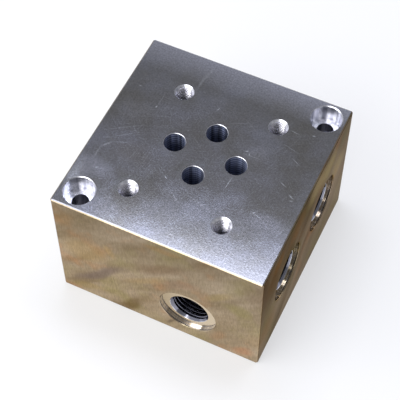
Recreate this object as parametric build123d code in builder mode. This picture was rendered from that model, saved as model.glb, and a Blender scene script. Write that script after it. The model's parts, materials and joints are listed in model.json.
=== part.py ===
"""Hydraulic manifold block for one size 6 directional valve (ISO 4401-03 face).

One machined block. The valve bolts to its top face, the pressure and tank lines
screw into the back and front faces, and the two work lines into the right face.

Frame: millimetres, origin at the centre of the underside, +Z up to the valve face,
-Y the face with the tank port, +X the face with the two work ports.
"""

from build123d import *
from math import isclose, radians, tan
import os

# Block, with every outer edge broken
block_length = 70.0  # along X
block_width = 70.0  # along Y
block_height = 50.0  # along Z
edge_break = 0.5

# Valve pattern, measured from the middle of the valve face
near_bolt_spacing = 31.0  # the row nearer to the tank port face
far_bolt_spacing = 32.5
near_bolt_row = 21.5  # from the port centre line to the near row
far_bolt_row = 19.0
tank_offset = 10.4  # tank bore along +X
pressure_offset = 10.4  # pressure bore along -X
work_a_offset = 8.8  # work bore A along -Y
work_b_offset = 8.7  # work bore B along +Y

# Valve bolt holes, M5
bolt_thread_d = 5.0
bolt_thread_depth = 12.0
bolt_tap_drill_d = 4.2
bolt_tap_runout = 3.0  # drilled on past the last full thread
bolt_mouth_d = 6.4

# Oil bores on the valve face
oil_bore_d = 6.8
oil_bore_break = 0.15

# Mounting holes on two opposite corners, for M5 cap screws
mount_inset = 6.5  # hole centre from both sides of its corner
mount_hole_d = 5.5
mount_head_d = 10.0
mount_head_depth = 6.0
mount_rim_break = 0.3

# Line ports, G 1/4 with a machined seat
port_thread_d = 13.157
port_thread_depth = 12.0
port_tap_drill_d = 11.8
port_tap_runout = 3.0
port_mouth_d = 13.5
port_seat_d = 19.5
port_seat_depth = 1.2
port_rim_break = 0.2

# Cross drillings that join the ports to the oil bores
gallery_d = 8.0
line_port_height = 15.0  # pressure and tank galleries above the underside
work_port_height = 26.0  # work galleries above the underside
work_port_spacing = 28.0  # between the two work ports, along Y
drill_overrun = 1.2  # how far a drill runs on past the bore that it opens into

drill_point_angle = 118.0
cutter_lead = 1.0  # how far a cutter starts outside the face


def point_length(radius):
    """Length of the cone that a twist drill of this radius leaves."""
    return radius / tan(radians(drill_point_angle / 2))


def drill_point(radius, depth):
    """Cone at the end of a blind hole drilled to this depth."""
    with Locations((0, 0, -depth)):
        Cone(
            bottom_radius=0,
            top_radius=radius,
            height=point_length(radius),
            align=(Align.CENTER, Align.CENTER, Align.MAX),
            mode=Mode.SUBTRACT,
        )


def oil_bore(depth):
    """Plain bore from the valve face down to a gallery, with a broken rim."""
    radius = oil_bore_d / 2
    CounterSinkHole(
        radius=radius,
        counter_sink_radius=radius + oil_bore_break,
        depth=depth,
        counter_sink_angle=90,
    )
    drill_point(radius, depth)


def bolt_hole():
    """Tapped hole for a valve bolt: countersunk mouth, thread and tap drill."""
    CounterSinkHole(
        radius=bolt_thread_d / 2,
        counter_sink_radius=bolt_mouth_d / 2,
        depth=bolt_thread_depth,
        counter_sink_angle=90,
    )
    drilled_depth = bolt_thread_depth + bolt_tap_runout
    Hole(radius=bolt_tap_drill_d / 2, depth=drilled_depth)
    drill_point(bolt_tap_drill_d / 2, drilled_depth)


def port_cutter(reach):
    """Form of a line port and the gallery behind it, cut along -Z from z = 0.

    reach is the depth of the gallery's full diameter below the block's face.
    """
    seat_radius = port_seat_d / 2
    mouth_radius = port_mouth_d / 2
    thread_radius = port_thread_d / 2
    tap_radius = port_tap_drill_d / 2
    gallery_radius = gallery_d / 2
    thread_start = port_seat_depth + mouth_radius - thread_radius
    thread_end = port_seat_depth + port_thread_depth
    tap_end = thread_end + port_tap_runout
    gallery_start = tap_end + point_length(tap_radius) - point_length(gallery_radius)
    with BuildPart() as cutter:
        with BuildSketch(Plane.XZ):
            with BuildLine():
                Polyline(
                    (0, cutter_lead),
                    (seat_radius + port_rim_break, cutter_lead),
                    (seat_radius + port_rim_break, 0),
                    (seat_radius, -port_rim_break),
                    (seat_radius, -port_seat_depth),
                    (mouth_radius, -port_seat_depth),
                    (thread_radius, -thread_start),
                    (thread_radius, -thread_end),
                    (tap_radius, -thread_end),
                    (tap_radius, -tap_end),
                    (gallery_radius, -gallery_start),
                    (gallery_radius, -reach),
                    (0, -reach - point_length(gallery_radius)),
                    close=True,
                )
            make_face()
        revolve(axis=Axis.Z)
    return cutter.part


def circles(shape, diameter):
    """Round edges of one diameter."""
    rounds = shape.edges().filter_by(GeomType.CIRCLE)
    return rounds.filter_by(lambda edge: isclose(edge.radius, diameter / 2, abs_tol=1e-4))


# Faces that holes start from, each with its +Z pointing out of the block
valve_face = Plane.XY.offset(block_height)
tank_face = Plane(
    origin=(tank_offset, -block_width / 2, line_port_height),
    x_dir=(1, 0, 0),
    z_dir=(0, -1, 0),
)
pressure_face = Plane(
    origin=(-pressure_offset, block_width / 2, line_port_height),
    x_dir=(-1, 0, 0),
    z_dir=(0, 1, 0),
)
work_face = Plane(
    origin=(block_length / 2, 0, work_port_height),
    x_dir=(0, 1, 0),
    z_dir=(1, 0, 0),
)

valve_bolt_points = [
    (-near_bolt_spacing / 2, -near_bolt_row),
    (near_bolt_spacing / 2, -near_bolt_row),
    (-far_bolt_spacing / 2, far_bolt_row),
    (far_bolt_spacing / 2, far_bolt_row),
]
mount_x = block_length / 2 - mount_inset
mount_y = block_width / 2 - mount_inset

# Galleries run just past the far side of the bores that they meet
gallery_end = oil_bore_d / 2 + drill_overrun
line_port = port_cutter(block_width / 2 + gallery_end)
work_port = port_cutter(block_length / 2 + gallery_end)

with BuildPart() as manifold_block:
    with BuildSketch():
        Rectangle(block_length, block_width)
    extrude(amount=block_height)
    chamfer(manifold_block.edges(), length=edge_break)

    # Tapped holes for the valve
    with Locations(valve_face):
        with Locations(*valve_bolt_points):
            bolt_hole()

    # Pressure and tank bores end on the axis of their galleries
    with Locations(valve_face):
        with Locations((-pressure_offset, 0), (tank_offset, 0)):
            oil_bore(block_height - line_port_height)

    # Work bores lie beside their galleries, so they are drilled right past them
    with Locations(valve_face):
        with Locations((0, -work_a_offset), (0, work_b_offset)):
            oil_bore(block_height - work_port_height + gallery_d / 2 + drill_overrun)

    # Line ports with their galleries
    with Locations(tank_face, pressure_face):
        add(line_port, mode=Mode.SUBTRACT)
    with Locations(work_face):
        with Locations((-work_port_spacing / 2, 0), (work_port_spacing / 2, 0)):
            add(work_port, mode=Mode.SUBTRACT)

    # Mounting holes for socket head cap screws
    with Locations(valve_face):
        with Locations((-mount_x, -mount_y), (mount_x, mount_y)):
            CounterBoreHole(
                radius=mount_hole_d / 2,
                counter_bore_radius=mount_head_d / 2,
                counter_bore_depth=mount_head_depth,
            )
    head_rims = circles(manifold_block, mount_head_d).group_by(Axis.Z)[-1]
    underside_rims = circles(manifold_block, mount_hole_d).group_by(Axis.Z)[0]
    chamfer(head_rims + underside_rims, length=mount_rim_break)

manifold_block.part.label = "manifold_block"

os.makedirs("parts", exist_ok=True)
export_step(manifold_block.part, "parts/manifold_block.step")
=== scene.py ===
"""Looks of the hydraulic manifold block.

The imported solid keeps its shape. This script cuts the screw threads into its line ports
and valve bolt holes, gives it its machined finish, and sets up a plain studio.

Sizes are written in millimetres, and turned to metres where a piece or lamp is placed.
"""

import json
import math
from types import SimpleNamespace

import bpy
from mathutils import Matrix, Vector


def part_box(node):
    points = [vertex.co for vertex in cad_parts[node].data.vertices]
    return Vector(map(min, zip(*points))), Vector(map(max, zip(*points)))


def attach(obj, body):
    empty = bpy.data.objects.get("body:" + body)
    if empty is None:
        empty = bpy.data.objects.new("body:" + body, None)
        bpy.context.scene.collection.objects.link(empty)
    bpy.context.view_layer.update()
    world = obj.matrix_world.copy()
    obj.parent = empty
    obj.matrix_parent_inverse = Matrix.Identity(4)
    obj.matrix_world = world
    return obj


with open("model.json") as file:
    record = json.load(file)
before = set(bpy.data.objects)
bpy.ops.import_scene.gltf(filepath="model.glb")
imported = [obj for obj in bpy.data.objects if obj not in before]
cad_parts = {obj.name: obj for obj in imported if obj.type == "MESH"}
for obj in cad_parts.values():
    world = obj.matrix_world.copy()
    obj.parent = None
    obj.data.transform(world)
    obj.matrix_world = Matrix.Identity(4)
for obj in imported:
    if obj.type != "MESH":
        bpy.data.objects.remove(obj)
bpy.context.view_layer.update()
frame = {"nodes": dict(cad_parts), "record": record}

MM = 0.001  # one millimetre in metres
BODY = "root"

block = frame["nodes"]["manifold_block"]
block_low, block_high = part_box("manifold_block")
mounts = {mount["name"]: mount for mount in frame["record"]["mounts"]}
HALF_SIDE = block_high.x / MM
TOP = block_high.z / MM


# ---------------------------------------------------------------- helpers


def linear(hex_colour):
    """Linear RGBA from an sRGB hex colour."""
    channels = [int(hex_colour[i : i + 2], 16) / 255 for i in (1, 3, 5)]
    straight = [c / 12.92 if c <= 0.04045 else ((c + 0.055) / 1.055) ** 2.4 for c in channels]
    return (*straight, 1.0)


def live_socket(sockets, name=None):
    """The first socket that a node's settings leave in use, or the first of that name."""
    return next(socket for socket in sockets if socket.enabled and name in (None, socket.name))


def add_node(owner, kind, inputs=None, **settings):
    """Adds one node to a material or world.

    An input goes by its name or its number. It is given a plain value, an sRGB hex
    colour, a socket, or a node, whose first output in use then feeds it.
    """
    node = owner.node_tree.nodes.new("ShaderNode" + kind)
    for name, value in settings.items():
        setattr(node, name, value)
    for key, value in (inputs or {}).items():
        socket = node.inputs[key] if isinstance(key, int) else live_socket(node.inputs, key)
        if isinstance(value, str):
            value = linear(value)
        if isinstance(value, bpy.types.Node):
            value = live_socket(value.outputs)
        if isinstance(value, bpy.types.NodeSocket):
            owner.node_tree.links.new(value, socket)
        else:
            socket.default_value = value
    return node


def new_material(name):
    """An empty node material, and its output node."""
    material = bpy.data.materials.new(name)
    material.use_nodes = True
    material.node_tree.nodes.clear()
    return material, add_node(material, "OutputMaterial")


# ---------------------------------------------------------------- threads

THREAD_DEPTH = 12.0  # of full thread, in the ports and in the bolt holes
THREAD_LEAD = 0.2  # from the mouth's rim down to the first turn
THREAD_STEPS = 48  # segments in one turn
ROOT_SINK = 0.04  # how deep the ridge is rooted in the bore's wall
# Shares of the pitch
ROOT_SHARE = 0.86  # ridge width at the bore's wall
CREST_SHARE = 0.34  # ridge width at the crest, before its corners are rounded
CREST_ROUND = 0.16  # rounding of the crest's corners

PORT_PITCH = 1.337  # G 1/4
PORT_CREST_RADIUS = 5.75
PORT_MOUTH_RADIUS = 6.75
PORT_SEAT_DEPTH = 1.2
BOLT_PITCH = 0.8  # M5
BOLT_CREST_RADIUS = 2.08
BOLT_MOUTH_RADIUS = 3.2


def ridge_profile(name, wall_radius, crest_radius, pitch, bottom):
    """Outline of one turn of the ridge, flat in the XZ plane, with a rounded crest."""
    height = wall_radius - crest_radius
    bpy.ops.mesh.primitive_plane_add(size=1)
    ridge = bpy.context.object
    ridge.name = name
    ridge.rotation_euler = (math.pi / 2, 0, 0)
    ridge.scale = (height, pitch * ROOT_SHARE, 1)
    ridge.location = (crest_radius + height / 2, 0, bottom)
    bpy.ops.object.transform_apply(location=True, rotation=True, scale=True)
    bpy.ops.object.mode_set(mode="EDIT")
    bpy.ops.mesh.select_all(action="DESELECT")
    bpy.ops.object.mode_set(mode="OBJECT")
    for vertex in ridge.data.vertices:
        vertex.select = vertex.co.x < crest_radius + height / 2
    bpy.ops.object.mode_set(mode="EDIT")
    bpy.ops.transform.resize(value=(1, 1, CREST_SHARE / ROOT_SHARE))
    bpy.ops.mesh.bevel(offset=pitch * CREST_ROUND, segments=2, affect="VERTICES")
    bpy.ops.mesh.select_all(action="SELECT")
    bpy.ops.mesh.delete(type="ONLY_FACE")
    bpy.ops.object.mode_set(mode="OBJECT")
    return ridge


def wind_ridge(ridge, pitch, turns):
    """Winds the profile into a closed helix about Z."""
    helix = ridge.modifiers.new("helix", "SCREW")
    helix.angle = 2 * math.pi
    helix.screw_offset = pitch
    helix.iterations = turns
    helix.steps = THREAD_STEPS
    helix.render_steps = THREAD_STEPS
    helix.use_smooth_shade = False
    bpy.ops.object.modifier_apply(modifier=helix.name)
    bpy.ops.object.mode_set(mode="EDIT")
    bpy.ops.mesh.select_all(action="SELECT")
    bpy.ops.mesh.fill_holes(sides=0)
    bpy.ops.mesh.select_all(action="SELECT")
    bpy.ops.mesh.normals_make_consistent(inside=False)
    bpy.ops.object.mode_set(mode="OBJECT")


def countersink_ridge(ridge, mouth_radius):
    """Cuts the ridge with the mouth's 45 degree cone, whose rim is at z = 0."""
    above = 2.0  # how far the cone runs on past the rim
    bpy.ops.mesh.primitive_cone_add(
        vertices=96,
        radius1=0,
        radius2=mouth_radius + above,
        depth=mouth_radius + above,
        location=(0, 0, (above - mouth_radius) / 2),
    )
    countersink = bpy.context.object
    bpy.ops.object.select_all(action="DESELECT")
    ridge.select_set(True)
    bpy.context.view_layer.objects.active = ridge
    cut = ridge.modifiers.new("countersink", "BOOLEAN")
    cut.operation = "DIFFERENCE"
    cut.solver = "EXACT"
    cut.object = countersink
    bpy.ops.object.modifier_apply(modifier=cut.name)
    bpy.data.objects.remove(countersink)


def thread_ridge(name, bore_radius, crest_radius, pitch, mouth_radius):
    """Helical ridge of an internal thread about +Z, its mouth's rim at z = 0."""
    bpy.ops.object.select_all(action="DESELECT")
    turns = round(THREAD_DEPTH / pitch)
    bottom = -THREAD_LEAD - pitch * turns
    ridge = ridge_profile(name, bore_radius + ROOT_SINK, crest_radius, pitch, bottom)
    wind_ridge(ridge, pitch, turns)
    countersink_ridge(ridge, mouth_radius)
    bpy.ops.object.shade_smooth_by_angle(angle=math.radians(28))
    return ridge


def place_thread(pattern, name, mouth, axis, finish):
    """A copy of the ridge in one hole, its mouth at that point, facing along axis."""
    piece = pattern.copy()
    piece.data = pattern.data.copy()
    piece.name = name
    piece.data.name = name
    bpy.context.scene.collection.objects.link(piece)
    turn = Vector(axis).to_track_quat("Z", "Y").to_matrix().to_4x4()
    piece.matrix_world = Matrix.Translation(mouth) @ turn @ Matrix.Scale(MM, 4)
    bpy.ops.object.select_all(action="DESELECT")
    piece.select_set(True)
    bpy.context.view_layer.objects.active = piece
    bpy.ops.object.transform_apply(location=True, rotation=True, scale=True)
    piece.data.materials.clear()
    piece.data.materials.append(finish)
    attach(piece, BODY)
    return piece


# ---------------------------------------------------------------- colours and marks

WHITE = "#ffffff"
# Valve face
TOP_WARM = "#646363"
TOP_COOL = "#6e6f77"
TOP_BUFFED = "#9d9fae"
TOP_SCORED = "#b4b7bf"
# Sides
SIDE_DARK = "#988974"
SIDE_LIGHT = "#b7a893"
SIDE_OLIVE = "#a39a72"
SIDE_RUDDY = "#b8906f"
# Painted shade that darkens the right face, multiplied into its colour
RIGHT_SIDE_SHADE = "#8f8171"
# Port seats: cream, with a painted reflection in grey and painted shade in brown
SEAT_CREAM = "#dccbb0"
SEAT_GREY_REFLECTION = "#b7a484"
SEAT_BROWN_SHADE = "#7e7973"
# Broken edges and rims
EDGE_GREY = "#8a8b94"
# Painted shade on the left edges
LEFT_EDGE_SHADE = "#4a4b51"
# Painted highlight on the rims of the holes in the valve face
RIM_HIGHLIGHT = "#cfd0d8"
# Bores
CUT_DARK = "#b2b3be"
CUT_BRIGHT = "#f2f2f8"
OIL_DARK = "#50597a"
# Threads, bright at the mouth and falling into painted shade deeper in the hole
OIL_LIGHT = "#a2abc8"
# Threads
BOLT_THREAD_BRIGHT = "#cbcad3"
BOLT_THREAD_SHADE = "#45464e"
BOLT_THREAD_GLANCE = WHITE
PORT_THREAD_BRIGHT = "#8c8d9a"
PORT_THREAD_SHADE = "#42424c"
PORT_THREAD_GLANCE = "#7c7d88"
# Studio
FLOOR_WHITE = "#dcdcde"
SKY_WHITE = "#f6f7fa"
LAMP_BLUE = "#ebf0ff"

# Wear on the valve face, each a fine score that tapers at both ends:
# middle x and y, half length and half width in mm, direction in degrees, depth of tone
SCORES = (
    (11.0, -6.6, 3.0, 0.16, 86, 0.55),
    (-30.3, -13.4, 3.4, 0.5, 88, 0.15),
    (-29.0, -9.4, 2.8, 0.5, 52, 0.2),
    (-25.2, -7.0, 3.6, 0.45, 20, 0.1),
    (-27.5, -1.8, 8.0, 0.2, 34, 0.16),
    (-26.5, -4.6, 7.0, 0.2, 36, 0.14),
    (-3.6, 17.3, 1.4, 0.2, 68, 0.35),
    (21.8, 19.3, 2.6, 0.16, -8, 0.4),
    (23.2, 13.0, 3.2, 0.14, -15, 0.25),
    (26.5, 9.0, 2.0, 0.18, -28, 0.35),
    (26.0, -0.2, 2.0, 0.18, -24, 0.4),
    (23.0, -13.7, 2.6, 0.16, -20, 0.35),
    (22.3, -13.2, 1.6, 0.16, 44, 0.3),
    (-7.1, -12.9, 1.1, 0.2, -40, 0.45),
    (-1.9, -18.0, 4.0, 0.14, -36, 0.25),
    (4.9, -16.8, 2.6, 0.18, -14, 0.25),
    (7.6, -17.2, 2.2, 0.18, 34, 0.22),
    (5.0, 15.4, 5.0, 0.14, 26, 0.2),
    (13.4, 5.2, 4.0, 0.14, 2, 0.22),
    (-13.0, 25.4, 5.0, 0.6, 88, 0.16),
    (-12.2, 29.5, 4.0, 0.6, 84, 0.14),
    (-21.5, 13.0, 4.2, 0.2, 88, 0.16),
    (27.6, 20.5, 0.7, 0.35, 10, 0.45),
    (-21.7, 10.0, 0.6, 0.3, 70, 0.45),
    (-30.0, 15.4, 0.5, 0.3, 0, 0.4),
    (-27.6, -18.6, 0.8, 0.25, 30, 0.45),
    (30.0, -3.4, 1.4, 0.3, -30, 0.35),
    (30.6, -4.8, 0.8, 0.3, 20, 0.3),
    (11.2, 6.4, 0.9, 0.22, 35, 0.5),
    (12.3, 5.6, 0.7, 0.2, -65, 0.45),
    (-33.0, -23.0, 7.0, 2.2, 88, 0.22),
)
SCORE_CONTRAST = 1.3  # multiplies each depth of tone
# Direction of each layer of fine rubbing marks on the valve face, in degrees
RUB_DIRECTIONS = (22, -38, 74)
# Places on the valve face that are rubbed brighter or stained darker:
# middle x and y, half length and half width in mm, strength, colour
TOP_PATCHES = (
    (-20.0, -9.0, 11.0, 6.0, 0.7, "#646262"),
    (-31.0, -18.5, 11.0, 6.0, 0.35, "#9d9fae"),
    (-32.0, -25.0, 5.0, 5.0, 0.4, "#a8aab6"),
    (27.0, -15.0, 9.0, 5.0, 0.25, "#9d9fae"),
    (-27.0, 6.0, 8.0, 6.0, 0.15, "#9d9fae"),
    (14.0, 6.0, 6.0, 5.0, 0.2, "#9d9fae"),
    (33.0, -33.0, 12.0, 6.0, 0.4, "#646468"),
)
# Stains on the front face: middle x and z, half length and half width in mm,
# direction in degrees, strength, colour
FRONT_STAINS = (
    (-20.7, 16.6, 18.0, 3.0, 45, 0.75, "#8d8078"),
    (1.8, 34.5, 14.0, 4.0, 31, 0.6, "#95826f"),
    (-24.5, 27.8, 12.0, 8.0, 20, 0.45, "#b29a72"),
    (-15.8, 32.8, 5.0, 2.0, -60, 0.35, "#b9a072"),
    (28.8, 29.5, 5.0, 4.5, 0, 0.5, "#9a916a"),
    (21.3, 33.0, 8.0, 3.0, 40, 0.45, "#b7a57c"),
    (29.7, 4.0, 6.0, 3.0, 40, 0.4, "#bd8767"),
    (21.0, 8.0, 6.0, 3.0, 60, 0.35, "#ae8c6e"),
    (-26.0, 5.0, 9.0, 3.0, 18, 0.4, "#a59368"),
    (-9.5, 5.3, 8.0, 3.0, 55, 0.6, "#7f6e58"),
    (5.0, 4.0, 4.0, 0.8, 50, 0.5, "#786e64"),
    (-3.7, 24.5, 13.0, 2.5, 40, 0.45, "#b9a482"),
    (8.0, 29.5, 10.0, 3.0, 35, 0.4, "#a58f7e"),
    (-3.7, 12.8, 8.0, 3.5, 50, 0.45, "#92806a"),
    (3.0, 46.6, 9.0, 2.0, 10, 0.35, "#b5946c"),
    (-31.0, 42.0, 6.0, 4.0, 60, 0.3, "#a98a66"),
)
# Stains on the right face, with painted light that makes it paler towards the back:
# middle y and z, half width and half height in mm, strength, colour
RIGHT_STAINS_AND_LIGHT = (
    (-33.0, 42.0, 6.0, 14.0, 0.6, "#93816f"),
    (-25.5, 40.0, 7.0, 12.0, 0.55, "#9b8263"),
    (-23.0, 45.0, 5.0, 4.0, 0.5, "#c09a70"),
    (-14.0, 37.0, 7.0, 6.0, 0.5, "#8b7a58"),
    (-8.0, 44.0, 8.0, 6.0, 0.5, "#b89a74"),
    (7.0, 45.0, 10.0, 8.0, 0.7, "#d8c9a4"),
    (17.0, 43.0, 9.0, 8.0, 0.7, "#d2c49c"),
    (28.5, 44.0, 5.0, 8.0, 0.7, "#a39a82"),
    (25.0, 32.0, 8.0, 8.0, 0.5, "#d4c6a0"),
    (-29.0, 14.0, 9.0, 10.0, 0.5, "#b59b78"),
)
STAIN_REACH = 10.0  # how far a patch or stain reaches into the block from its face
SCORE_REACH = 5.0  # the same for a score
WANDER = 4.0  # how far the edges of patches and stains stray
MEAN_STRAY = WANDER / 2  # along each axis, made up for in the place of each of them

# Sizes of the patterns. The grain, the rubbing marks and the brushing are finer on the
# real metal, and are drawn as coarse as they need to show.
GRAIN_WIDTH = 0.55
THREAD_GRAIN_WIDTH = 0.6
RUB_LENGTH = 7.0
RUB_WIDTH = 0.3
BRUSH_LENGTH = 2.2
BRUSH_WIDTH = 0.42
CLOUD_WIDTH = 16.0  # of the valve face's tones
SHADE_WIDTH = 12.0  # of the sides' olive and ruddy shades, and of how stains stray
BAND_LENGTH = 45.0
BAND_WIDTH = 8.0
BAND_CLIMB = 38.0  # degrees
STREAK_WIDTH = 1.5
DRILL_RING_SPACING = 1.1
CUTTER_RING_SPACING = 0.35

# How the block's parts are told apart
EDGE_BREAK = 0.5
TOP_EDGE_ON_SIDE = 0.22  # the lower part of the top edge, which looks like the side
OIL_BORE_REACH = 14.5  # from the block's middle, past the outermost oil bore
OIL_RIM_DEPTH = 0.14  # from the valve face, nearly all of the oil bores' broken rims
RIM_DEPTH = 0.2  # from the valve face, for the painted highlight on the rims of its holes
TOP_HOLE_DEPTH = 13.0  # from the valve face, short of the highest port seat
PORT_MOUTH_DEPTH = 3.6  # from the side face to the first turns of thread
PORT_BAND = 5.0  # from the right face, past the floors of its seats


# ---------------------------------------------------------------- the block's finish

# Settings of a Mix node that lays colour B over colour A, and of one that multiplies them
LAID = {"data_type": "RGBA"}
MULTIPLIED = {"data_type": "RGBA", "blend_type": "MULTIPLY"}
# Scale of a Wave texture whose bands are one unit apart
WAVE = 2 * math.pi / 20


def lay_patch(
    material,
    under,
    over,
    where,
    place,
    size,
    strength,
    turn=(0, 0, 0),
    core=0.2,
    fade="SMOOTHSTEP",
):
    """One oval patch of another colour, full at its core and fading to its edge.

    place is its middle and size its half lengths, both in mm. turn is in degrees, and
    core is a share of its size.
    """
    turn = [math.radians(angle) for angle in turn]
    local = add_node(
        material,
        "Mapping",
        {"Vector": where, "Location": place, "Rotation": turn, "Scale": size},
        vector_type="TEXTURE",
    )
    distance = add_node(material, "VectorMath", {0: local}, operation="LENGTH")
    share = add_node(
        material,
        "MapRange",
        {"Value": distance, "From Min": 1.0, "From Max": core, "To Max": strength},
        interpolation_type=fade,
    )
    return add_node(material, "Mix", {"Factor": share, "A": under, "B": over}, **LAID)


def position(material):
    """Object position in mm, its axes, and how far it reaches from the block's middle.

    reach is the larger of |x| and |y|, and is full on the side faces.
    """
    where = add_node(material, "TexCoord").outputs["Object"]
    mm = add_node(material, "VectorMath", {0: where, "Scale": 1 / MM}, operation="SCALE")
    axes = add_node(material, "SeparateXYZ", {0: mm}).outputs
    at = SimpleNamespace(mm=mm, x=axes["X"], y=axes["Y"], z=axes["Z"])
    at.reach_x = add_node(material, "Math", {0: at.x}, operation="ABSOLUTE")
    at.reach_y = add_node(material, "Math", {0: at.y}, operation="ABSOLUTE")
    both = {0: at.reach_x, 1: at.reach_y}
    at.reach = add_node(material, "Math", both, operation="MAXIMUM")
    return at


def block_areas(material, at):
    """Masks, 0 or 1, for the faces, edges, seats and bores of the block.

    The bare numbers under 0.2 are tolerances in mm.
    """
    area = SimpleNamespace()

    # Valve face and underside
    height = add_node(material, "Math", {0: at.z, 1: TOP / 2}, operation="SUBTRACT")
    height = add_node(material, "Math", {0: height}, operation="ABSOLUTE")
    face = TOP / 2 - 0.01
    area.flat = add_node(material, "Math", {0: height, 1: face}, operation="GREATER_THAN")

    # Edges, with each limit a little past the end of the break, and on the left just
    # short of it
    limit = HALF_SIDE - EDGE_BREAK - 0.1
    area.edge = add_node(material, "Math", {0: at.reach, 1: limit}, operation="GREATER_THAN")
    upright_edge = add_node(
        material, "Math", {0: at.inner_reach, 1: limit}, operation="GREATER_THAN"
    )
    foot = add_node(material, "Math", {0: at.z, 1: EDGE_BREAK + 0.05}, operation="LESS_THAN")
    foot_edge = add_node(material, "Math", {0: area.edge, 1: foot}, operation="MULTIPLY")
    limit = HALF_SIDE - EDGE_BREAK - 0.05
    right_edge = add_node(material, "Math", {0: at.x, 1: limit}, operation="GREATER_THAN")
    below_top = add_node(material, "Math", {0: at.z, 1: TOP - 0.04}, operation="LESS_THAN")
    right_edge = add_node(material, "Math", {0: right_edge, 1: below_top}, operation="MULTIPLY")
    # The left edges take painted shade
    limit = EDGE_BREAK - 0.02 - HALF_SIDE
    area.left_edge = add_node(material, "Math", {0: at.x, 1: limit}, operation="LESS_THAN")

    # Sides: the faces with their upright and foot edges and the lower part of the top
    # edge, which on the right is taken in whole
    limit = HALF_SIDE - TOP_EDGE_ON_SIDE
    side = add_node(material, "Math", {0: at.reach, 1: limit}, operation="GREATER_THAN")
    side = add_node(material, "Math", {0: side, 1: upright_edge}, operation="MAXIMUM")
    side = add_node(material, "Math", {0: side, 1: foot_edge}, operation="MAXIMUM")
    limit = TOP - EDGE_BREAK + TOP_EDGE_ON_SIDE
    under_top_edge = add_node(material, "Math", {0: at.z, 1: limit}, operation="LESS_THAN")
    side = add_node(material, "Math", {0: side, 1: under_top_edge}, operation="MULTIPLY")
    area.side = add_node(material, "Math", {0: side, 1: right_edge}, operation="MAXIMUM")
    # The right face alone, which takes painted shade
    limit = HALF_SIDE - 0.1
    area.right_face = add_node(material, "Math", {0: at.x, 1: limit}, operation="GREATER_THAN")

    # Floors of the port seats, and which of them are on the right
    floor_place = {0: at.reach, 1: HALF_SIDE - PORT_SEAT_DEPTH, 2: 0.06}
    area.seat = add_node(material, "Math", floor_place, operation="COMPARE")
    limit = HALF_SIDE - PORT_BAND
    area.right = add_node(material, "Math", {0: at.x, 1: limit}, operation="GREATER_THAN")
    area.right_seat = add_node(
        material, "Math", {0: area.right, 1: area.seat}, operation="MULTIPLY"
    )

    # Bores are all that is neither flat nor an edge. Those near the middle carry oil, and
    # elsewhere only holes from the top reach the upper part of the block.
    outside = add_node(material, "Math", {0: area.flat, 1: area.edge}, operation="MAXIMUM")
    area.bore = add_node(material, "Math", {0: 1.0, 1: outside}, operation="SUBTRACT")
    middle = add_node(material, "Math", {0: at.reach, 1: OIL_BORE_REACH}, operation="LESS_THAN")
    limit = TOP - OIL_RIM_DEPTH
    below_rim = add_node(material, "Math", {0: at.z, 1: limit}, operation="LESS_THAN")
    area.oil_bore = add_node(material, "Math", {0: middle, 1: below_rim}, operation="MULTIPLY")
    limit = TOP - TOP_HOLE_DEPTH
    upper = add_node(material, "Math", {0: at.z, 1: limit}, operation="GREATER_THAN")
    area.from_top = add_node(material, "Math", {0: upper, 1: middle}, operation="MAXIMUM")

    # Mouths of the line ports
    limit = HALF_SIDE - PORT_MOUTH_DEPTH
    mouth = add_node(material, "Math", {0: at.reach, 1: limit}, operation="GREATER_THAN")
    mouth = add_node(material, "Math", {0: mouth, 1: area.bore}, operation="MULTIPLY")
    area.port_mouth = add_node(
        material, "Math", {0: mouth, 1: area.from_top}, operation="SUBTRACT", use_clamp=True
    )

    # Rims of the holes in the valve face, which carry a painted highlight
    rim_place = {0: at.z, 1: TOP - RIM_DEPTH / 2, 2: RIM_DEPTH / 2 - 0.01}
    rim = add_node(material, "Math", rim_place, operation="COMPARE")
    inside = add_node(material, "Math", {0: 1.0, 1: area.edge}, operation="SUBTRACT")
    area.rim = add_node(material, "Math", {0: rim, 1: inside}, operation="MULTIPLY")
    return area


def top_colour(material, at, clouds, wandering, grain):
    """Ground face: cloudy grey, buffed at the back, rubbed three ways, and scored."""
    cloud_tone = add_node(
        material, "MapRange", {"Value": clouds, "From Min": 0.36, "From Max": 0.66}
    )
    colour = add_node(material, "Mix", {"Factor": cloud_tone, "A": TOP_WARM, "B": TOP_COOL}, **LAID)
    back = add_node(
        material, "MapRange", {"Value": at.y, "From Min": 24, "From Max": 35, "To Max": 0.8}
    )
    colour = add_node(material, "Mix", {"Factor": back, "A": colour, "B": TOP_BUFFED}, **LAID)
    for x, y, half_length, half_width, strength, patch_colour in TOP_PATCHES:
        place = (x + MEAN_STRAY, y + MEAN_STRAY, TOP + MEAN_STRAY)
        size = (half_length, half_width, STAIN_REACH)
        colour = lay_patch(material, colour, patch_colour, wandering, place, size, strength)
    for direction in RUB_DIRECTIONS:
        along = add_node(
            material,
            "Mapping",
            {
                "Vector": wandering,
                "Rotation": (0, 0, math.radians(direction)),
                "Scale": (RUB_LENGTH, RUB_WIDTH, RUB_LENGTH),
            },
            vector_type="TEXTURE",
        )
        rubs = add_node(material, "TexNoise", {"Vector": along, "Scale": 1.0, "Detail": 1})
        rub = add_node(
            material,
            "MapRange",
            {"Value": rubs, "From Min": 0.62, "From Max": 0.8, "To Max": 0.1},
        )
        colour = add_node(material, "Mix", {"Factor": rub, "A": colour, "B": TOP_SCORED}, **LAID)
    for x, y, half_length, half_width, direction, depth in SCORES:
        colour = lay_patch(
            material,
            colour,
            TOP_SCORED,
            at.mm,
            (x, y, TOP),
            (half_length, half_width, SCORE_REACH),
            depth * SCORE_CONTRAST,
            turn=(0, 0, direction),
            fade="LINEAR",
        )
    grain_tone = add_node(
        material,
        "MapRange",
        {"Value": grain, "From Min": 0.3, "From Max": 0.7, "To Min": 0.8, "To Max": 1.2},
        clamp=False,
    )
    return add_node(material, "Mix", {"Factor": 1.0, "A": colour, "B": grain_tone}, **MULTIPLIED)


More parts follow.
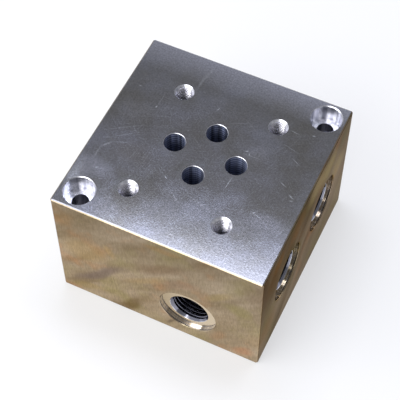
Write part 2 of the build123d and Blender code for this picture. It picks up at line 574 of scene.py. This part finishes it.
def side_bands(material, at):
    """Tan in soft bands that climb across each side, clouded with olive and ruddy."""
    around = add_node(material, "Math", {0: at.x, 1: at.y}, operation="ADD")
    across = add_node(material, "Math", {0: at.x, 1: at.y}, operation="SUBTRACT")
    unrolled = add_node(material, "CombineXYZ", {0: around, 1: across, 2: at.z})
    banded = add_node(
        material,
        "Mapping",
        {
            "Vector": unrolled,
            "Rotation": (0, math.radians(-BAND_CLIMB), 0),
            "Scale": (BAND_LENGTH, BAND_LENGTH, BAND_WIDTH),
        },
        vector_type="TEXTURE",
    )
    bands = add_node(
        material,
        "TexNoise",
        {"Vector": banded, "Scale": 1.0, "Detail": 4, "Roughness": 0.55},
    )
    band_tone = add_node(
        material, "MapRange", {"Value": bands, "From Min": 0.34, "From Max": 0.66}
    )
    tan = {"Factor": band_tone, "A": SIDE_DARK, "B": SIDE_LIGHT}
    colour = add_node(material, "Mix", tan, **LAID)
    shade = add_node(
        material,
        "TexNoise",
        {"Vector": at.mm, "Scale": 1 / SHADE_WIDTH, "Detail": 3, "W": 3.0},
        noise_dimensions="4D",
    )
    olive = add_node(
        material,
        "MapRange",
        {"Value": shade, "From Min": 0.52, "From Max": 0.72, "To Max": 0.6},
    )
    ruddy = add_node(
        material,
        "MapRange",
        {"Value": shade, "From Min": 0.46, "From Max": 0.28, "To Max": 0.6},
    )
    colour = add_node(material, "Mix", {"Factor": olive, "A": colour, "B": SIDE_OLIVE}, **LAID)
    return add_node(material, "Mix", {"Factor": ruddy, "A": colour, "B": SIDE_RUDDY}, **LAID)


def side_colours(material, at, area, wandering):
    """Colour of the sides seen squarely, and the colour that they take at a glance."""
    colour = side_bands(material, at)
    for x, z, half_length, half_width, direction, strength, stain_colour in FRONT_STAINS:
        colour = lay_patch(
            material,
            colour,
            stain_colour,
            wandering,
            (x + MEAN_STRAY, MEAN_STRAY - HALF_SIDE, z + MEAN_STRAY),
            (half_length, STAIN_REACH, half_width),
            strength,
            turn=(0, -direction, 0),
            core=0.3,
        )
    # The right face's stains also carry painted light, paler towards the back
    for y, z, half_width, half_height, strength, stain_colour in RIGHT_STAINS_AND_LIGHT:
        place = (HALF_SIDE + MEAN_STRAY, y + MEAN_STRAY, z + MEAN_STRAY)
        size = (STAIN_REACH, half_width, half_height)
        colour = lay_patch(material, colour, stain_colour, wandering, place, size, strength)

    # Painted light and shade: the sides are lighter towards the foot and darker towards the top
    # edge
    fade = add_node(
        material,
        "MapRange",
        {"Value": at.z, "From Min": 20, "From Max": 46, "To Min": 1.17, "To Max": 0.86},
    )
    glance = add_node(material, "Mix", {"Factor": 1.0, "A": colour, "B": fade}, **MULTIPLIED)
    # Painted shade: the right face is made darker and browner
    colour = add_node(
        material,
        "Mix",
        {"Factor": area.right_face, "A": colour, "B": RIGHT_SIDE_SHADE},
        **MULTIPLIED,
    )

    # Upright brushing
    upright = add_node(
        material,
        "Mapping",
        {"Vector": at.mm, "Scale": (BRUSH_WIDTH, BRUSH_WIDTH, BRUSH_LENGTH)},
        vector_type="TEXTURE",
    )
    brushing = add_node(
        material,
        "TexNoise",
        {"Vector": upright, "Scale": 1.0, "Detail": 2, "Roughness": 0.6},
    )
    brush_tone = add_node(
        material,
        "MapRange",
        {"Value": brushing, "From Min": 0.3, "From Max": 0.7, "To Min": 0.88, "To Max": 1.12},
        clamp=False,
    )
    # The brushing carries the same painted light and shade
    tone = add_node(material, "Math", {0: brush_tone, 1: fade}, operation="MULTIPLY")
    colour = add_node(material, "Mix", {"Factor": 1.0, "A": colour, "B": tone}, **MULTIPLIED)
    return colour, glance


def bore_colour(material, at, area):
    """Bright cut walls with streaks along each bore, an oil film in the oil bores, and a painted
    highlight on the rims.
    """
    # Streaks run down the holes from the top, and inwards in the ports
    downwards = add_node(material, "CombineXYZ", {0: at.x, 1: at.y, 2: 0.0})
    inwards = add_node(material, "CombineXYZ", {0: at.inner_reach, 1: at.z, 2: 0.0})
    along = add_node(
        material,
        "Mix",
        {"Factor": area.from_top, "A": inwards, "B": downwards},
        data_type="VECTOR",
    )
    streaks = add_node(
        material, "TexNoise", {"Vector": along, "Scale": 1 / STREAK_WIDTH, "Detail": 3}
    )
    streak_tone = add_node(
        material, "MapRange", {"Value": streaks, "From Min": 0.38, "From Max": 0.6}
    )
    cut = {"Factor": streak_tone, "A": CUT_DARK, "B": CUT_BRIGHT}
    colour = add_node(material, "Mix", cut, **LAID)
    colour = add_node(material, "Mix", {"Factor": area.edge, "A": colour, "B": EDGE_GREY}, **LAID)
    # Painted shade: the left edges are darker
    left = {"Factor": area.left_edge, "A": colour, "B": LEFT_EDGE_SHADE}
    colour = add_node(material, "Mix", left, **LAID)

    # Rings that the drill left, under a film of oil
    rings = add_node(
        material,
        "TexWave",
        {
            "Vector": at.mm,
            "Scale": WAVE / DRILL_RING_SPACING,
            "Distortion": 1.5,
            "Detail": 2,
        },
        wave_type="BANDS",
        bands_direction="Z",
    ).outputs["Fac"]
    oil = add_node(material, "Mix", {"Factor": rings, "A": OIL_DARK, "B": OIL_LIGHT}, **LAID)
    oil = add_node(material, "Mix", {"Factor": 0.75, "A": oil, "B": streak_tone}, **MULTIPLIED)
    colour = add_node(material, "Mix", {"Factor": area.oil_bore, "A": colour, "B": oil}, **LAID)
    # Painted highlight: a pale line along the rims
    return add_node(material, "Mix", {"Factor": area.rim, "A": colour, "B": RIM_HIGHLIGHT}, **LAID)


def seat_colour(material, at, area):
    """Port seats: cream, with painted reflection grey on the left and painted shade brown on the
    right face.
    """
    rightward = add_node(
        material, "MapRange", {"Value": at.x, "From Min": 2.0, "From Max": 12.0}
    )
    front = {"Factor": rightward, "A": SEAT_GREY_REFLECTION, "B": SEAT_CREAM}
    colour = add_node(material, "Mix", front, **LAID)
    return add_node(material, "Mix", {"Factor": area.right, "A": colour, "B": SEAT_BROWN_SHADE}, **LAID)


def block_material():
    """Aluminium, milled and ground, and handled since.

    The ground valve face mirrors the room softly and is rubbed in all directions. The
    brushed sides are a warm tan in slanting bands. The port mouths are cut bright, and
    flash white beside their dark holes.
    """
    material, output = new_material("milled_aluminium_block")
    at = position(material)
    both = {0: at.reach_x, 1: at.reach_y}
    at.inner_reach = add_node(material, "Math", both, operation="MINIMUM")
    area = block_areas(material, at)
    grain = add_node(
        material,
        "TexNoise",
        {"Vector": at.mm, "Scale": 1 / GRAIN_WIDTH, "Detail": 2, "Roughness": 0.6},
    )
    clouds = add_node(
        material,
        "TexNoise",
        {"Vector": at.mm, "Scale": 1 / CLOUD_WIDTH, "Detail": 4, "Roughness": 0.6},
    )
    stray = add_node(
        material, "TexNoise", {"Vector": at.mm, "Scale": 1 / SHADE_WIDTH, "Detail": 1}
    ).outputs["Color"]
    stray = add_node(material, "VectorMath", {0: stray, "Scale": WANDER}, operation="SCALE")
    wandering = add_node(material, "VectorMath", {0: at.mm, 1: stray}, operation="ADD")

    side, side_glance = side_colours(material, at, area, wandering)
    colour = bore_colour(material, at, area)
    seat = seat_colour(material, at, area)
    colour = add_node(material, "Mix", {"Factor": area.seat, "A": colour, "B": seat}, **LAID)
    top = top_colour(material, at, clouds, wandering, grain)
    colour = add_node(material, "Mix", {"Factor": area.flat, "A": colour, "B": top}, **LAID)
    colour = add_node(material, "Mix", {"Factor": area.side, "A": colour, "B": side}, **LAID)
    tanned = add_node(
        material, "Math", {0: area.side, 1: area.right_seat}, operation="MAXIMUM"
    )
    glance = add_node(material, "Mix", {"Factor": tanned, "A": WHITE, "B": side_glance}, **LAID)

    # The oil film dulls the metal under it
    metallic = add_node(
        material, "MapRange", {"Value": area.oil_bore, "To Min": 1.0, "To Max": 0.3}
    )

    # Relief: fine grain, and the cutter's rings in the bores
    turned = add_node(
        material,
        "TexWave",
        {"Vector": at.mm, "Scale": WAVE / CUTTER_RING_SPACING},
        wave_type="BANDS",
        bands_direction="Z",
    ).outputs["Fac"]
    relief = add_node(
        material, "Math", {0: turned, 1: area.bore, 2: grain}, operation="MULTIPLY_ADD"
    )
    unpolished = add_node(material, "Math", {0: 1.0, 1: area.port_mouth}, operation="SUBTRACT")
    relief = add_node(material, "Math", {0: relief, 1: unpolished}, operation="MULTIPLY")
    bump = add_node(
        material, "Bump", {"Strength": 0.35, "Distance": 0.02 * MM, "Height": relief}
    )

    # Smooth outside, duller in the bores, polished at the port mouths
    roughness = add_node(
        material,
        "MapRange",
        {"Value": clouds, "From Min": 0.3, "From Max": 0.7, "To Min": 0.14, "To Max": 0.19},
    )
    for place, change in ((area.bore, 0.12), (area.port_mouth, -0.15)):
        roughness = add_node(
            material, "Math", {0: place, 1: change, 2: roughness}, operation="MULTIPLY_ADD"
        )
    shader = add_node(
        material,
        "BsdfPrincipled",
        {
            "Base Color": colour,
            "Metallic": metallic,
            "Roughness": roughness,
            "Specular Tint": glance,
            "Normal": bump,
        },
    )
    material.node_tree.links.new(shader.outputs[0], output.inputs[0])
    return material


# ---------------------------------------------------------------- other finishes


def thread_material(name, bright, deep, glance, shade_depths, polish):
    """Aluminium thread cut with a tap.

    A hole shows a few bright turns at its mouth and falls off into painted shade. glance is
    the tone at a glancing angle. The depths where the painted shade starts and where it is
    full are given in mm below the outer face. polish is the lowest roughness.
    """
    material, output = new_material(name)
    at = position(material)
    # The top counts as one more side, so that one limit serves every hole
    upward = add_node(material, "Math", {0: at.z, 1: TOP - HALF_SIDE}, operation="SUBTRACT")
    outward = add_node(material, "Math", {0: at.reach, 1: upward}, operation="MAXIMUM")
    # Painted shade: the thread darkens from its mouth into the hole
    shade_start, shade_end = shade_depths
    unshaded = add_node(
        material,
        "MapRange",
        {
            "Value": outward,
            "From Min": HALF_SIDE - shade_end,
            "From Max": HALF_SIDE - shade_start,
        },
    )
    colour = add_node(material, "Mix", {"Factor": unshaded, "A": deep, "B": bright}, **LAID)
    grain = add_node(
        material,
        "TexNoise",
        {"Vector": at.mm, "Scale": 1 / THREAD_GRAIN_WIDTH, "Detail": 3},
    )
    roughness = add_node(
        material, "MapRange", {"Value": grain, "To Min": polish, "To Max": polish * 2.3}
    )
    shader = add_node(
        material,
        "BsdfPrincipled",
        {
            "Base Color": colour,
            "Metallic": 1.0,
            "Roughness": roughness,
            "Specular Tint": glance,
        },
    )
    material.node_tree.links.new(shader.outputs[0], output.inputs[0])
    return material


def floor_material():
    """Matt white paper: pale and even with no gloss, under the block's soft shadow."""
    material, output = new_material("matt_white_studio_paper")
    paper = add_node(
        material,
        "BsdfPrincipled",
        {"Base Color": FLOOR_WHITE, "Roughness": 0.9, "Specular IOR Level": 0.1},
    )
    white = add_node(material, "Emission", {"Color": WHITE, "Strength": 1.0})
    rays = add_node(material, "LightPath").outputs
    seen = add_node(
        material,
        "Math",
        {0: rays["Is Camera Ray"], 1: rays["Is Glossy Ray"]},
        operation="MAXIMUM",
    )
    seen = add_node(
        material, "Math", {0: seen, 1: rays["Is Transmission Ray"]}, operation="MAXIMUM"
    )
    share = add_node(material, "Math", {0: seen, 1: 0.5}, operation="MULTIPLY")
    both = add_node(material, "MixShader", {0: share, 1: paper, 2: white})
    material.node_tree.links.new(both.outputs[0], output.inputs[0])
    return material


# ---------------------------------------------------------------- pieces

machined = block_material()
block.data.materials.clear()
block.data.materials.append(machined)

# Each thread darkens into painted shade between the given depths
bolt_thread_finish = thread_material(
    "tapped_bolt_thread_aluminium",
    BOLT_THREAD_BRIGHT,
    BOLT_THREAD_SHADE,
    BOLT_THREAD_GLANCE,
    shade_depths=(3.0, 7.5),
    polish=0.15,
)
port_thread_finish = thread_material(
    "tapped_port_thread_aluminium",
    PORT_THREAD_BRIGHT,
    PORT_THREAD_SHADE,
    PORT_THREAD_GLANCE,
    shade_depths=(2.0, 6.0),
    polish=0.06,
)

port_pattern = thread_ridge(
    "port_pattern",
    bore_radius=mounts["tank_port"]["dims"]["r_mm"],
    crest_radius=PORT_CREST_RADIUS,
    pitch=PORT_PITCH,
    mouth_radius=PORT_MOUTH_RADIUS,
)
bolt_pattern = thread_ridge(
    "bolt_pattern",
    bore_radius=mounts["valve_bolts_near_row"]["dims"]["hole_r_mm"],
    crest_radius=BOLT_CREST_RADIUS,
    pitch=BOLT_PITCH,
    mouth_radius=BOLT_MOUTH_RADIUS,
)

for name in ("tank_port", "pressure_port", "work_port_a", "work_port_b"):
    mount = mounts[name]
    axis = Vector(mount["axis"])
    centre = Vector(mount["pos_m"])
    # On the port's axis, in the floor of its seat
    mouth = centre - axis * centre.dot(axis) + axis * (block_high.x - PORT_SEAT_DEPTH * MM)
    place_thread(port_pattern, name + "_thread", mouth, axis, port_thread_finish)

for row in ("near", "far"):
    mount = mounts["valve_bolts_" + row + "_row"]
    half = mount["dims"]["spacing_x_mm"] / 2 * MM
    for side, sign in (("left", -1), ("right", 1)):
        name = f"{row}_{side}_bolt_thread"
        mouth = Vector((sign * half, mount["pos_m"][1], block_high.z))
        place_thread(bolt_pattern, name, mouth, (0, 0, 1), bolt_thread_finish)

bpy.data.objects.remove(port_pattern)
bpy.data.objects.remove(bolt_pattern)

# ---------------------------------------------------------------- studio

bpy.ops.object.select_all(action="DESELECT")
bpy.ops.mesh.primitive_plane_add(size=6, location=(0, 0, block_low.z))
floor = bpy.context.object
floor.name = "studio_floor"
floor.data.materials.append(floor_material())

# The sky is even on the left and overhead, and darker on the right, so that each hole
# has a light and a dark side
world = bpy.data.worlds.new("studio")
bpy.context.scene.world = world
world.use_nodes = True
sky = world.node_tree.nodes["Background"]
sky.inputs[0].default_value = linear(SKY_WHITE)
bearing = add_node(world, "TexCoord").outputs["Generated"]
rightward = add_node(world, "SeparateXYZ", {0: bearing}).outputs["X"]
strength = add_node(
    world,
    "MapRange",
    {"Value": rightward, "From Min": -0.1, "From Max": 0.4, "To Min": 0.75, "To Max": 0.33},
    interpolation_type="SMOOTHSTEP",
)
world.node_tree.links.new(strength.outputs[0], sky.inputs[1])


def softbox(name, place, target, size, power, turn=0, tint=WHITE):
    """Oblong lamp at a place in millimetres, facing the target and turned by some degrees."""
    lamp = bpy.data.lights.new(name, "AREA")
    lamp.shape = "RECTANGLE"
    lamp.size = size[0] * MM
    lamp.size_y = size[1] * MM
    lamp.energy = power
    lamp.color = linear(tint)[:3]
    holder = bpy.data.objects.new(name, lamp)
    bpy.context.scene.collection.objects.link(holder)
    holder.location = Vector(place) * MM
    aim = Vector(target) - Vector(place)
    facing = aim.to_track_quat("-Z", "Y").to_matrix()
    holder.rotation_euler = (facing @ Matrix.Rotation(math.radians(turn), 3, "Z")).to_euler()
    return holder


# The first lamp's mirror image brightens the front of the valve face. The second draws
# the highlights on edges, rims and port mouths.
softbox("overhead_softbox", (5, 79, 353), (5, 79, 0), (260, 118), 0.9, turn=6, tint=LAMP_BLUE)
softbox("front_softbox", (-193, -355, 378), (0, -20, 30), (680, 300), 2.6)

CAMERA_AIM = Vector((-1.3, -1.0, 25.0))
CAMERA_DISTANCE = 394.2
CAMERA_AZIMUTH = math.radians(25.5)  # from -Y towards +X
CAMERA_ELEVATION = math.radians(56.37)
CAMERA_ROLL = math.radians(0.13)
SENSOR_WIDTH = 36.0
LENS = 109.7

towards_camera = Vector(
    (
        math.sin(CAMERA_AZIMUTH) * math.cos(CAMERA_ELEVATION),
        -math.cos(CAMERA_AZIMUTH) * math.cos(CAMERA_ELEVATION),
        math.sin(CAMERA_ELEVATION),
    )
)
camera_data = bpy.data.cameras.new("camera")
camera_data.lens = LENS
camera_data.sensor_width = SENSOR_WIDTH
camera_data.clip_start = 10 * MM
camera = bpy.data.objects.new("camera", camera_data)
bpy.context.scene.collection.objects.link(camera)
camera.location = (CAMERA_AIM + towards_camera * CAMERA_DISTANCE) * MM
camera.rotation_mode = "QUATERNION"
camera.rotation_quaternion = (-towards_camera).to_track_quat("-Z", "Y")
camera.rotation_quaternion @= Matrix.Rotation(-CAMERA_ROLL, 3, "Z").to_quaternion()
bpy.context.scene.camera = camera
bpy.context.scene.view_settings.view_transform = "Standard"
